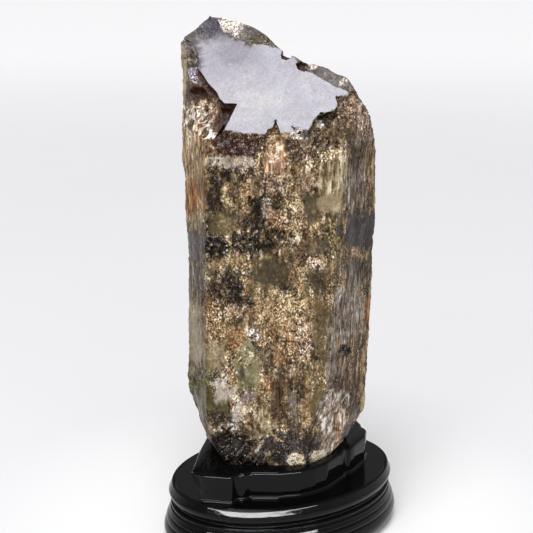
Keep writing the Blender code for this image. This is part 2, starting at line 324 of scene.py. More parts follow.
def combine(target, tools, operation="DIFFERENCE"):
    """Cuts the tools from the target for good, or joins them to it."""
    for tool in tools:
        modifier = target.modifiers.new(tool.name, "BOOLEAN")
        modifier.operation = operation
        modifier.solver = "MANIFOLD"
        modifier.object = tool
    graph = bpy.context.evaluated_depsgraph_get()
    mesh = bpy.data.meshes.new_from_object(target.evaluated_get(graph))
    target.modifiers.clear()
    target.data = in_order(mesh)
    for tool in tools:
        bpy.data.objects.remove(tool, do_unlink=True)


def crystal_form():
    bottom = (Vector((0, 0, ROOT_BOTTOM)), Vector((0, 0, -1)))
    bm = cut_block([*prism_planes(), *TERMINATION, *root_planes(), bottom])
    split_long_edges(bm, FORM_EDGE)
    weather(bm)
    keep_inside(bm, FACE_FOOT, FACE_NORMAL)
    form = helper(bm, "crystal_fine")
    surround = slab(SURROUND_OUTLINE, -SURROUND_DEPTH, STEP_CLEARANCE, PALE_OUTLINE)
    tools = [helper(on_face(surround), "surround")]
    for name, (depth, outline) in FACE_STEPS.items():
        tools.append(helper(on_face(slab(outline, -depth, STEP_CLEARANCE)), name))
    for i, (middle, facing, depth) in enumerate(CHIPS):
        ball = bmesh.new()
        bmesh.ops.create_icosphere(ball, subdivisions=CHIP_ROUNDS, radius=CHIP_RADIUS)
        centre = Vector(middle) + Vector(facing).normalized() * (CHIP_RADIUS - depth)
        ball.transform(Matrix.Translation(centre))
        tools.append(helper(ball, f"chip_{i}"))
    combine(form, tools)
    return form


def make_fine(form):
    bm = bmesh.new()
    bm.from_mesh(form.data)
    bmesh.ops.triangulate(bm, faces=bm.faces[:])
    for _ in range(FINE_ROUNDS):
        halve_edges(bm, FINE_EDGE)
    form.data = to_mesh(bm, "crystal_fine")


# ---- crystal: what lies where

SIDES = dict(zip(("front", "right", "rear right", "rear", "rear left", "left"), prism_planes()))
SIDES["face"] = (FACE_FOOT, FACE_NORMAL)
SIDES["shoulder"] = SHOULDER_PLANE

# Colours as seen in soft daylight, sRGB from 0 to 255
TINTS = {
    "black": (35, 24, 15),
    "dark": (60, 44, 29),
    "plum": (84, 54, 42),
    "slate": (73, 66, 63),
    "bark": (82, 70, 46),
    "brown": (120, 98, 70),
    "umber": (90, 65, 43),
    "rust": (158, 108, 62),
    "red": (150, 80, 62),
    "tan": (176, 146, 106),
    "copper": (186, 148, 116),
    "rose": (192, 162, 136),
    "olive": (112, 98, 60),
    "moss": (98, 94, 48),
    "jade": (142, 141, 106),
    "sage": (166, 151, 118),
    "grey brown": (112, 106, 98),
    "drab": (128, 112, 92),
    "grey": (142, 133, 124),
    "lilac": (172, 166, 182),
    "frost": (210, 201, 193),
    "cream": (226, 208, 172),
    # Pale flecks; the specks in the quartz use this tint for painted glints
    "fleck": (240, 225, 206),
    "white": (240, 236, 232),
    # Partly the smooth face's frosted surface, partly a painted reflection of the bright surroundings
    "frosted face and painted reflection": (218, 216, 226),
    "haze": (150, 148, 162),
    "dusk": (90, 86, 95),
    "ledge": (124, 119, 124),
}

# How much darker a surface's own colour is than it looks here, lit from above with a pale floor round it
OWN_SHADE = 0.49


def linear(name):
    """A tint as linear light."""
    share = np.array(TINTS[name]) / 255.0
    return OWN_SHADE * np.where(share <= 0.04045, share / 12.92, ((share + 0.055) / 1.055) ** 2.4)


def smooth_step(low, high, value):
    share = np.clip((value - low) / (high - low), 0.0, 1.0)
    return share * share * (3.0 - 2.0 * share)


SEED_STEP = 37.0


def wander(points, size, seed, stretch=1.0):
    """Smooth noise, mostly from -1 to 1, with features of a size in mm, drawn out upwards by stretch."""
    scaled = points / (size, size, size * stretch) + (SEED_STEP * seed, 0.0, 0.0)
    return np.array([noise.fractal(place, 0.6, 2.1, 3) for place in scaled])


def facets(points, size, seed):
    """Heights of a surface broken into flat facets of a size, each tilted its own way, and their tones."""
    heights, tones = [], []
    for place in points / size + (SEED_STEP * seed, 0.0, 0.0):
        centre = noise.voronoi(place)[1][0]
        heights.append((Vector(place) - centre).dot(noise.noise_vector(centre * 7.3)) * size)
        tones.append(noise.noise(centre * 5.1))
    return np.array(heights), np.array(tones)


def per_vertex(mesh, what):
    values = np.empty(len(mesh.vertices) * 3, np.float32)
    mesh.vertices.foreach_get(what, values)
    return values.reshape(-1, 3).astype(float)


def height_over(points, plane):
    point, outward = plane
    return (points - np.array(point)) @ np.array(outward)


def inside_outline(u, v, outline):
    """Which points of a plane lie inside an outline, by counting crossings."""
    inside = np.zeros(len(u), bool)
    for (u0, v0), (u1, v1) in zip(outline, outline[1:] + outline[:1]):
        if v0 == v1:
            continue
        crosses = ((v0 > v) != (v1 > v)) & (u < (u1 - u0) * (v - v0) / (v1 - v0) + u0)
        inside ^= crosses
    return inside


def on_pale_face(points):
    rise = (points - np.array(FACE_FOOT)) @ np.array(FACE_UP)
    near = np.abs(height_over(points, SIDES["face"])) < FACE_NEAR
    return near & inside_outline(points[:, 0], rise, PALE_OUTLINE)


MARK_FRAY, MARK_CORNERS = 0.4, 2.6


def mark_density(seen, warp, box):
    """How far each point lies in a mark, whose box is where the photograph shows it."""
    left, top, right, bottom = box
    across = (seen[0] - (left + right) / 2) / ((right - left) / 2)
    down = (seen[1] - (top + bottom) / 2) / ((bottom - top) / 2)
    rounded = (np.abs(across) ** MARK_CORNERS + np.abs(down) ** MARK_CORNERS) ** (1 / MARK_CORNERS)
    return smooth_step(1.4, 0.65, rounded + MARK_FRAY * warp)


# Marks that the camera sees: name, box in the photograph (left, top, right, bottom), tint, strength,
# and the kind of surface where it isn't grain. Most are the stone's own colour; the shade, shadow, glint
# and light marks are painted shade, shadows, highlights and light.
MARKS = (
    ("shade", 207, 129, 264, 157, "plum", 0.97),
    ("shade, left", 199, 141, 214, 158, "umber", 0.7),
    ("shade, right", 282, 137, 332, 157, "umber", 0.8),
    ("frosted line", 200, 156, 252, 168, "frost", 0.6, "shell"),
    ("tan rib", 264, 146, 290, 176, "copper", 0.85, "fibre"),
    ("bright rib", 268, 145, 280, 163, "fleck", 0.48),
    ("rose rib, low", 262, 172, 286, 194, "rose", 0.55),
    ("umber by the rib", 284, 152, 302, 176, "umber", 0.55),
    ("rose upper right", 299, 158, 318, 194, "rose", 0.62),
    ("cream corner", 320, 149, 347, 165, "cream", 0.65),
    ("light olive", 316, 160, 345, 204, "sage", 0.8, "fibre"),
    ("left column", 202, 166, 224, 236, "dark", 0.88),
    ("upper row", 218, 167, 252, 182, "dark", 0.55),
    ("tan spots", 236, 184, 262, 202, "tan", 0.6),
    ("small spot", 226, 196, 240, 214, "tan", 0.5),
    ("olive left", 208, 210, 240, 238, "olive", 0.66, "shell"),
    ("hollow", 249, 195, 267, 217, "black", 0.74, "pits"),
    ("hollow, low", 240, 213, 270, 233, "dark", 0.8, "pits"),
    ("white streak", 262, 196, 271, 222, "frost", 0.55),
    ("dark hollow", 272, 197, 285, 213, "dark", 0.75, "pits"),
    ("rose patch", 267, 212, 286, 232, "copper", 0.8),
    ("spot, right", 287, 196, 304, 212, "tan", 0.7),
    ("diagonal", 303, 192, 322, 223, "bark", 0.7, "shell"),
    ("pale chip", 316, 196, 341, 213, "sage", 0.8, "shell"),
    ("olive right", 322, 214, 346, 264, "olive", 0.6),
    ("band, left", 197, 236, 228, 257, "black", 0.85, "pits"),
    ("black band", 226, 233, 268, 255, "black", 0.75, "pits"),
    ("band, right", 262, 230, 286, 251, "dark", 0.7, "pits"),
    ("dark spot", 304, 238, 330, 256, "bark", 0.62, "shell"),
    ("left edge", 198, 232, 210, 302, "dark", 0.5),
    ("glint", 306, 257, 321, 266, "rose", 0.75),
    ("tan streak", 240, 256, 253, 290, "tan", 0.6),
    ("bark patch", 253, 257, 291, 290, "bark", 0.8, "shell"),
    ("dark, right", 306, 266, 328, 295, "bark", 0.7, "shell"),
    ("tan right", 292, 262, 308, 302, "tan", 0.5),
    ("umber, left", 206, 268, 226, 298, "umber", 0.5),
    ("black spot", 225, 283, 243, 311, "black", 0.8, "pits"),
    ("spot, low", 238, 299, 255, 313, "dark", 0.8, "pits"),
    ("tan middle", 244, 288, 312, 348, "tan", 0.62),
    ("frost, left", 220, 307, 241, 319, "rose", 0.8),
    ("rust left", 201, 300, 215, 318, "rust", 0.6),
    ("tan, low left", 204, 314, 230, 344, "tan", 0.6),
    ("frost middle", 246, 328, 261, 341, "frost", 0.66),
    ("rust middle", 228, 330, 247, 353, "rust", 0.6),
    ("umber spot", 244, 344, 261, 355, "umber", 0.8),
    ("rose streak", 298, 320, 312, 357, "rose", 0.72),
    ("rust low", 272, 334, 298, 373, "rust", 0.5),
    ("dark by chip", 258, 350, 275, 380, "umber", 0.75),
    ("rust by chip", 262, 374, 277, 393, "rust", 0.55),
    ("dark column", 270, 380, 287, 426, "umber", 0.8, "fibre"),
    ("rose column", 284, 361, 297, 380, "rose", 0.5, "fibre"),
    ("drab column", 286, 382, 300, 438, "grey brown", 0.55, "fibre"),
    ("tan column", 300, 380, 312, 440, "tan", 0.5, "fibre"),
    ("olive stripe", 311, 370, 325, 422, "olive", 0.75, "shell"),
    ("stripe, high", 314, 298, 332, 372, "olive", 0.6, "shell"),
    ("sage left", 198, 343, 228, 375, "sage", 0.6, "shell"),
    ("moss spot", 199, 358, 217, 374, "moss", 0.6, "shell"),
    ("green chip", 231, 347, 264, 390, "jade", 0.72, "shell"),
    ("chip facets", 236, 350, 256, 372, "sage", 0.52, "broken"),
    ("chip crack", 238, 364, 246, 384, "dark", 0.72, "shell"),
    ("chip moss", 238, 374, 252, 386, "moss", 0.55, "shell"),
    ("umber, low", 192, 369, 213, 388, "umber", 0.8),
    ("grey, low", 210, 370, 231, 385, "grey", 0.6, "broken"),
    ("moss", 182, 375, 212, 404, "moss", 1.0),
    ("moss, low", 189, 388, 229, 420, "moss", 0.95, "shell"),
    ("moss, end", 208, 409, 240, 428, "bark", 0.9),
    ("shell", 212, 382, 236, 405, "frost", 0.66, "shell"),
    ("shell, low", 229, 402, 247, 424, "frost", 0.55, "shell"),
    ("rose by shell", 243, 401, 262, 420, "rose", 0.55),
    ("lilac chip", 238, 392, 255, 403, "lilac", 0.5, "shell"),
    ("sage column", 252, 406, 273, 449, "sage", 0.7, "fibre"),
    ("pale line", 214, 423, 240, 433, "frost", 0.62, "broken"),
    ("black foot", 210, 432, 249, 474, "black", 0.96, "broken"),
    ("foot, low", 236, 452, 272, 474, "black", 0.85, "broken"),
    ("foot glints", 224, 440, 250, 460, "slate", 0.55, "broken"),
    ("grey sparkle", 254, 434, 268, 464, "grey", 0.6, "broken"),
    ("foot, right", 266, 433, 322, 470, "slate", 0.94),
    ("umber foot", 284, 426, 318, 444, "grey brown", 0.45, "fibre"),
    ("matrix", 288, 454, 304, 467, "cream", 0.85),
    ("matrix, right", 311, 451, 328, 464, "cream", 0.9),
    ("red fringe", 286, 464, 306, 470, "red", 0.6),
    ("pale column", 325, 322, 340, 394, "grey", 0.6, "fibre"),
    ("grey streaks", 320, 388, 348, 458, "frost", 0.56, "fibre"),
    ("rose, low", 333, 404, 345, 454, "rose", 0.66, "fibre"),
    ("streak, right", 338, 328, 353, 345, "frost", 0.55, "fibre"),
    ("slate", 343, 213, 380, 250, "slate", 0.92, "shell"),
    ("rose wedge", 345, 246, 363, 259, "copper", 0.5),
    ("grey side, top", 346, 166, 366, 210, "grey", 0.7, "fibre"),
    ("dark side, top", 347, 140, 361, 175, "bark", 0.75, "fibre"),
    ("olive edge, top", 364, 148, 380, 205, "olive", 0.55, "fibre"),
    ("grey side, middle", 341, 258, 368, 286, "grey brown", 0.7, "fibre"),
    ("grey side, low", 335, 284, 368, 346, "grey", 0.66, "fibre"),
    ("rust edge", 364, 296, 374, 328, "rust", 0.8, "fibre"),
    ("black nick", 340, 345, 351, 355, "black", 0.9, "pits"),
    ("umber nick", 333, 373, 351, 390, "umber", 0.8, "fibre"),
    ("grey by the edge", 344, 391, 367, 424, "grey", 0.5, "fibre"),
    ("slate facet", 343, 423, 365, 449, "slate", 0.85, "shell"),
    ("green edge", 360, 385, 370, 413, "sage", 0.8, "shell"),
    ("tan, top", 183, 108, 207, 160, "tan", 0.74, "fibre"),
    ("cream, top", 186, 112, 200, 150, "cream", 0.55, "fibre"),
    ("tan left", 183, 148, 207, 218, "tan", 0.76, "fibre"),
    ("rust streak", 183, 178, 199, 218, "rust", 0.8, "fibre"),
    ("sage tip", 187, 212, 201, 231, "sage", 0.7, "fibre"),
    ("slate left", 183, 230, 205, 264, "slate", 0.7, "shell"),
    ("grey left", 185, 262, 204, 302, "grey brown", 0.65, "fibre"),
    ("sage edge", 183, 300, 203, 372, "sage", 0.66, "shell"),
    ("left shoulder", 180, 34, 206, 84, "ledge", 0.8),
    ("shoulder streaks", 184, 40, 196, 72, "umber", 0.55, "fibre"),
    # Painted light: pale green light shining through the thin left rim
    ("pale rim", 180, 42, 187, 98, "sage", 0.8, "shell"),
    ("lilac patch", 189, 69, 205, 85, "lilac", 0.66),
    # Painted shade in the recess under the left edge of the face, and a painted shadow line along that edge
    ("hollow, left", 188, 82, 211, 105, "plum", 0.92, "shell"),
    ("edge, left", 197, 60, 209, 84, "plum", 0.85, "shell"),
    ("edge, middle", 203, 76, 222, 98, "plum", 0.9, "shell"),
    ("edge, right", 214, 90, 240, 112, "plum", 0.9, "shell"),
    ("block", 184, 100, 221, 139, "rose", 0.8, "broken"),
    ("cream in the block", 188, 106, 208, 122, "cream", 0.6, "broken"),
    ("umber in block", 206, 108, 220, 128, "umber", 0.7, "broken"),
    ("glossy", 205, 127, 214, 139, "frost", 0.8, "broken"),
    # Painted shade on the wall under the step
    ("step wall", 216, 102, 238, 134, "plum", 0.92, "shell"),
    ("pale break", 215, 14, 243, 36, "frost", 0.85),
    ("crest pit", 278, 50, 293, 62, "plum", 0.97, "shell"),
    ("crest bite", 292, 61, 310, 74, "plum", 0.97, "shell"),
    ("ridge", 240, 30, 276, 52, "grey brown", 0.6, "shell"),
    ("ridge, olive", 246, 36, 276, 48, "olive", 0.55),
    ("ridge, right", 312, 66, 354, 94, "grey brown", 0.6, "shell"),
    ("ridge spot", 308, 62, 319, 70, "frost", 0.7),
    ("pale spot, right", 338, 78, 349, 86, "frost", 0.7),
    ("dark notch", 333, 95, 350, 117, "plum", 0.92, "shell"),
    ("shoulder, right", 338, 90, 372, 144, "drab", 0.8),
    ("rose shoulder", 344, 98, 368, 128, "rose", 0.66),
    ("umber shoulder", 338, 112, 356, 140, "umber", 0.6, "fibre"),
    ("fracture", 311, 113, 331, 135, "umber", 0.75, "broken"),
    ("splinters", 314, 120, 328, 130, "frost", 0.5, "broken"),
    ("dark wedge", 314, 110, 336, 119, "dark", 0.8, "broken"),
    ("grey triangle", 290, 125, 311, 140, "grey", 0.8, "broken"),
    ("under the fracture", 306, 134, 346, 148, "umber", 0.75, "broken"),
    ("glassy", 326, 118, 346, 142, "umber", 0.62, "fibre"),
    ("glint, right", 329, 146, 333, 151, "white", 0.85),
)

# Shades over the smooth face and its painted reflection
FACE_MARKS = (
    ("dim margin", 176, 26, 199, 62, "grey brown", 0.9),
    ("speckles", 192, 42, 203, 76, "ledge", 0.75),
    ("dim middle", 216, 38, 258, 66, "haze", 0.5, "smooth"),
    ("flecks, middle", 232, 92, 300, 108, "white", 0.52),
    ("flecks, right", 292, 68, 312, 84, "white", 0.45),
    ("flecks, low", 236, 104, 262, 124, "white", 0.35),
)


# ---- crystal: wear and colour

# Kinds of surface, with how speckled the edge of a mark is in each
SURFACES = {"grain": 0.8, "fibre": 0.6, "broken": 0.5, "shell": 0.25, "smooth": 0.1, "pits": 0.65}
# How much each kind of surface counts in the granules, in the upright furrows and in the gloss
GRAIN_IN_FORM = {"grain": 1.0, "pits": 0.6, "shell": 0.4, "smooth": 0.15}
FIBRE_IN_FORM = {"fibre": 1.0, "grain": 0.3}
GRAIN_IN_LOOK = {"grain": 1.0, "pits": 1.0, "broken": 0.6, "smooth": 0.15, "shell": 0.15}
GLOSS = {"smooth": 1.0, "shell": 1.0, "broken": 0.6}
GROUPS = {
    "front": ("front",),
    "right": ("right", "shoulder"),
    "left": ("left",),
    "rear": ("rear right", "rear", "rear left"),
}
# Ground colour of each group of sides, then what is laid over it: tint, size in mm, stretch, share, strength
GROUNDS = {
    "front": (
        "brown",
        (("tan", 16.0, 1.4, 0.5, 0.65), ("olive", 20.0, 1.5, 0.4, 0.5), ("dark", 12.0, 1.2, 0.34, 0.7),
         ("dark", 4.6, 1.8, 0.3, 0.6), ("tan", 5.0, 2.5, 0.32, 0.55), ("cream", 2.3, 3.0, 0.12, 0.45)),
    ),
    "right": (
        "drab",
        (("olive", 16.0, 2.5, 0.4, 0.55), ("umber", 11.0, 3.5, 0.35, 0.6), ("dark", 4.6, 6.0, 0.35, 0.6),
         ("tan", 4.0, 5.0, 0.3, 0.6), ("rose", 2.8, 6.0, 0.16, 0.5), ("dark", 2.2, 7.0, 0.22, 0.5)),
    ),
    "left": (
        "drab",
        (("sage", 9.0, 5.0, 0.45, 0.45), ("umber", 3.6, 7.0, 0.4, 0.55), ("rose", 3.0, 8.0, 0.2, 0.5),
         ("dark", 2.2, 9.0, 0.22, 0.5)),
    ),
    "rear": (
        "drab",
        (("brown", 24.0, 1.6, 0.5, 0.8), ("olive", 19.0, 1.8, 0.4, 0.6), ("umber", 14.0, 1.6, 0.36, 0.7),
         ("tan", 10.0, 2.0, 0.36, 0.6), ("rose", 5.0, 3.0, 0.22, 0.5), ("dark", 4.6, 2.0, 0.26, 0.55),
         ("cream", 2.6, 3.0, 0.12, 0.45)),
    ),
}
GROUP_BLEND_MM = 1.6
FIBRE_OF_GROUP = {"front": 0.3, "right": 0.8, "left": 1.05, "rear": 0.42}
# Over the ledge tint of the crest: tint, size in mm, seed, share, strength
CREST_LAYERS = (
    ("grey brown", 6.0, 43, 0.4, 0.6), ("dark", 2.6, 41, 0.25, 0.55), ("lilac", 1.8, 42, 0.16, 0.6),
)


def group_weights(points):
    """How much each point belongs to each group of sides, from how near it is to their planes."""
    heights = {}
    for group, sides in GROUPS.items():
        heights[group] = np.max([height_over(points, SIDES[side]) for side in sides], axis=0)
    nearest = np.max(list(heights.values()), axis=0)
    weights = {group: np.exp((height - nearest) / GROUP_BLEND_MM) for group, height in heights.items()}
    total = sum(weights.values())
    return {group: weight / total for group, weight in weights.items()}


def share_mask(field, share):
    """The part of a noise field that covers about a share of the surface, with soft edges."""
    level = np.quantile(field, 1.0 - share)
    spread = np.std(field)
    return smooth_step(level - 0.35 * spread, level + 0.45 * spread, field)


def lay(tint, mask, name):
    tint += mask[:, None] * (linear(name) - tint)


def ground_tint(points, group):
    base, layers = GROUNDS[group]
    tint = np.tile(linear(base), (len(points), 1))
    for seed, (name, size, stretch, share, strength) in enumerate(layers):
        field = wander(points, size, seed + len(group), stretch)
        lay(tint, share_mask(field, share) * strength, name)
    return tint


def mixed(values, shares):
    """A sum of some of the values, each times its share."""
    return sum(share * values[key] for key, share in shares.items())


def resurface(surface, mask, **kinds):
    """Puts other kinds of surface where the mask is, each by its share."""
    for kind in SURFACES:
        surface[kind] *= 1.0 - mask
        surface[kind] += kinds.get(kind, 0.0) * mask


def crystal_fields(points, normals, weights):
    """Tint of each point, how strongly each kind of surface shows there, and what frays the edges."""
    tint = sum(weights[group][:, None] * ground_tint(points, group) for group in GROUPS)
    surface = {kind: np.zeros(len(points)) for kind in SURFACES}
    surface["fibre"] = mixed(weights, FIBRE_OF_GROUP)
    surface["grain"] = 1.0 - 0.45 * surface["fibre"]
    warp = 0.8 * wander(points, 8.0, 31) + 0.9 * wander(points, 3.6, 32, 1.5)
    fray = (warp, wander(points, 2.0, 33, 1.4))
    crest_tints(points, tint, surface, fray)
    lay_marks(points, normals, tint, surface, fray, MARKS)
    return tint, surface, fray


def lay_marks(points, normals, tint, surface, fray, marks):
    """Lays marks one over the other, with ragged and speckled edges."""
    warp, speck = fray
    seen = seen_at(points)
    sight = points - np.array(CAMERA_PLACE)
    turned_away = np.sum(sight * normals, axis=1) / np.linalg.norm(sight, axis=1)
    faces_camera = smooth_step(-0.1, 0.05, -turned_away)
    for _, left, top, right, bottom, name, strength, *other_kind in marks:
        kind = other_kind[0] if other_kind else "grain"
        box = (left, top, right, bottom)
        density = strength * mark_density(seen, warp, box) * faces_camera
        speckled = density + SURFACES[kind] * speck * np.minimum(1.0, 3.0 * density)
        mask = smooth_step(0.22, 0.78, speckled)
        lay(tint, mask * min(1.0, 0.35 + strength * 0.7), name)
        resurface(surface, mask, **{kind: 1.0})


def crest_tints(points, tint, surface, fray):
    """The rough strip round the upper edge of the smooth face, and the ridge behind it."""
    over = height_over(points, SIDES["face"])
    rise = (points - np.array(FACE_FOOT)) @ np.array(FACE_UP)
    strip = smooth_step(-3.5, -0.5, over + 0.8 * fray[0]) * smooth_step(20.0, 26.0, rise)
    lay(tint, strip * 0.9, "ledge")
    for name, size, seed, share, strength in CREST_LAYERS:
        lay(tint, strip * share_mask(wander(points, size, seed), share) * strength, name)
    resurface(surface, strip, shell=0.85, grain=0.15)


def face_tint_with_painted_reflection(points, normals, tint, surface, fray):
    """The smooth face: clouded lilac grey with pale flecks, dimmer towards the apex; the lilac grey is partly
    its frosted surface and partly a painted reflection of the bright surroundings.
    """
    mask = on_pale_face(points).astype(float)
    # Painted reflection: the smooth face is laid pale lilac grey, partly its frosted surface and partly the
    # bright surroundings mirrored in it
    lay(tint, mask, "frosted face and painted reflection")
    cloud, fine, streak = wander(points, 13.0, 51), wander(points, 2.6, 52), wander(points, 4.0, 53, 2.2)
    from_apex = np.linalg.norm(points - np.array(APEX), axis=1)
    tint *= (1.0 + mask * (0.11 * cloud + 0.07 * fine + 0.08 * streak))[:, None]
    lay(tint, mask * smooth_step(58.0, 22.0, from_apex + 8.0 * cloud) * 0.32, "haze")
    dusk = mask * smooth_step(23.0, 9.0, from_apex + 4.0 * cloud + 3.0 * fray[1])
    lay(tint, dusk * 0.95, "dusk")
    marked, marked_surface = tint.copy(), {kind: np.zeros(len(points)) for kind in SURFACES}
    lay_marks(points, normals, marked, marked_surface, fray, FACE_MARKS)
    tint += mask[:, None] * (marked - tint)
    resurface(surface, mask, smooth=1.0)
    surface["grain"] += 0.8 * dusk
    return mask * (1.0 - 0.75 * dusk)


GRAIN_RISE, FIBRE_RISE, PIT_DEPTH = 0.5, 0.36, 1.1
BROKEN_SIZE, BROKEN_RISE, BROKEN_TONES = 5.0, 0.75, 2.2
DEEPEST, HIGHEST = -2.2, 1.2


def wear(points, normals, surface, pale, broken):
    """Moves each point along its normal: granules, upright furrows, pits and broken facets."""
    grain = wander(points, 2.9, 61) + 0.8 * wander(points, 7.0, 62)
    fibre = wander(points, 2.3, 63, 11.0) + 0.9 * wander(points, 5.5, 64, 8.0)
    pits = smooth_step(0.0, 0.5, wander(points, 2.6, 65))
    rise = GRAIN_RISE * grain * mixed(surface, GRAIN_IN_FORM)
    rise += FIBRE_RISE * fibre * mixed(surface, FIBRE_IN_FORM)
    rise -= PIT_DEPTH * (0.4 + pits) * surface["pits"]
    rise += BROKEN_RISE * broken * surface["broken"]
    over_socket = smooth_step(COLLAR_TOP - 1.0, COLLAR_TOP + 5.0, points[:, 2])
    rise *= (1.0 - pale) * (CALMEST + (1.0 - CALMEST) * over_socket)
    return points + normals * np.clip(rise, DEEPEST, HIGHEST)[:, None]


def write_attribute(mesh, name, channels):
    colours = np.ones((len(mesh.vertices), 4), np.float32)
    for i, channel in enumerate(channels):
        colours[:, i] = channel
    attribute = mesh.attributes.new(name, "FLOAT_COLOR", "POINT")
    attribute.data.foreach_set("color", colours.ravel())


SHARP_ANGLE = math.radians(38)
TINT_CONTRAST = 1.3
# Painted light: the sides that the lamps reach less are painted paler than their own colour, to make up for
# the light they miss
PAINTED_LIGHT_OF_GROUP = {"front": 1.0, "right": 1.22, "left": 1.2, "rear": 1.35}
LUMA = np.array((0.3, 0.59, 0.11))


def finish_mesh(mesh, material):
    mesh.shade_smooth()
    mesh.set_sharp_from_angle(angle=SHARP_ANGLE)
    mesh.materials.clear()
    mesh.materials.append(material)


def make_crystal():
    form = crystal_form()
    make_fine(form)
    mesh = form.data
    points, normals = per_vertex(mesh, "co"), per_vertex(mesh, "normal")
    weights = group_weights(points)
    tint, surface, fray = crystal_fields(points, normals, weights)
    tint *= ((tint @ LUMA) / (linear("brown") @ LUMA))[:, None] ** (TINT_CONTRAST - 1.0)
    # Painted light: the sides that the lamps reach less are painted paler
    tint *= mixed(weights, PAINTED_LIGHT_OF_GROUP)[:, None]
    pale = face_tint_with_painted_reflection(points, normals, tint, surface, fray)
    broken, tones = facets(points, BROKEN_SIZE, 66)
    tint *= (2.0 ** (BROKEN_TONES * tones * surface["broken"]))[:, None]
    worn = wear(points, normals, surface, pale, broken)
    mesh.vertices.foreach_set("co", (worn * MM).ravel())
    grain, gloss = mixed(surface, GRAIN_IN_LOOK), np.clip(mixed(surface, GLOSS), 0.0, 1.0)
    write_attribute(mesh, "tint", np.clip(tint, 0.0, 1.0).T)
    write_attribute(mesh, "surface", (grain * (1.0 - pale), surface["fibre"], gloss))
    write_attribute(mesh, "pale", (pale, surface["broken"]))
    mesh.update()
    finish_mesh(mesh, quartz_material())
    return form


# ---- materials


class Graph:
    """The shader nodes of a material or world, added one at a time with their inputs."""

    def __init__(self, owner):
        owner.use_nodes = True
        self.owner, self.tree = owner, owner.node_tree
        self.tree.nodes.clear()

    def add(self, kind, inputs=(), **settings):
        made = self.tree.nodes.new("ShaderNode" + kind)
        for key, value in settings.items():
            setattr(made, key, value)
        for key, value in dict(inputs).items():
            if isinstance(value, bpy.types.NodeSocket):
                self.tree.links.new(value, made.inputs[key])
            else:
                made.inputs[key].default_value = value
        return made.outputs

    def math(self, operation, value, *others, clamp=False):
        """A value worked on by each of the others in turn."""
        for other in others:
            value = self.add("Math", {0: value, 1: other}, operation=operation, use_clamp=clamp)[0]
        return value

    def plus(self, *values):
        return self.math("ADD", *values)

    def times(self, *values):
        return self.math("MULTIPLY", *values)

    def centred(self, value, factor):
        """A value that wanders round 0.5, taken round nought and multiplied."""
        return self.times(self.math("SUBTRACT", value, 0.5), factor)

    def vector(self, operation, *values, out="Vector"):
        return self.add("VectorMath", dict(enumerate(values)), operation=operation)[out]

    def place(self):
        return self.add("TexCoord")["Object"]

    def noise(self, scale, detail=3.0, roughness=0.6, distortion=0.0):
        """Noise with this many features a metre along each axis."""
        inputs = {"Scale": 1.0, "Detail": detail, "Roughness": roughness, "Distortion": distortion}
        return self.add("TexNoise", {"Vector": self.vector("MULTIPLY", self.place(), scale), **inputs})[0]

    def cells(self, place):
        """Voronoi cells: how far off the nearest cell's point is, that point, and the cell's own numbers."""
        made = self.add("TexVoronoi", {"Vector": place, "Scale": 1.0})
        return made["Distance"], made["Position"], made["Color"]

    def ramp(self, value, low, high, start=0.0, end=1.0):
        inputs = {"Value": value, "From Min": low, "From Max": high, "To Min": start, "To Max": end}
        return self.add("MapRange", inputs, interpolation_type="SMOOTHSTEP")[0]

    def mix(self, factor, a, b, blend="MIX"):
        return self.add("Mix", {0: factor, 6: a, 7: b}, data_type="RGBA", blend_type=blend)[2]

    def parts(self, colour):
        return self.add("SeparateColor", {"Color": colour})

    def attribute(self, name):
        """The channels of one of the mesh's own colour attributes."""
        return self.parts(self.add("Attribute", attribute_name=name)["Color"])

    def bump(self, height, strength, distance, **base):
        inputs = {"Height": height, "Strength": strength, "Distance": distance, **base}
        return self.add("Bump", inputs)["Normal"]

    def finish(self, inputs):
        shader = self.add("BsdfPrincipled", inputs)[0]
        self.add("OutputMaterial", {"Surface": shader})
        return self.owner


def rgba(name):
    return (*linear(name), 1.0)


# Bright grains of the stone are paler than its ground, and dark ones are warmer
GAIN_POWERS = (1.0, 1.18, 1.4)
PALEST = (0.66, 0.63, 0.6)
# Specks in the stone, the pale ones painted glints: cells a metre, and where the pale and the dark ones start
SPECKS = ((620.0, 0.86, 0.84), (1300.0, 0.82, 0.86))
SPLINTER, SPLINTER_TURN = (0.0013, 0.0022, 0.0065), (0.15, 0.62, 0.2)
GLINT, GLINT_TURN = (0.0012, 0.0012, 0.0017), (0.1, 0.3, 0.0)


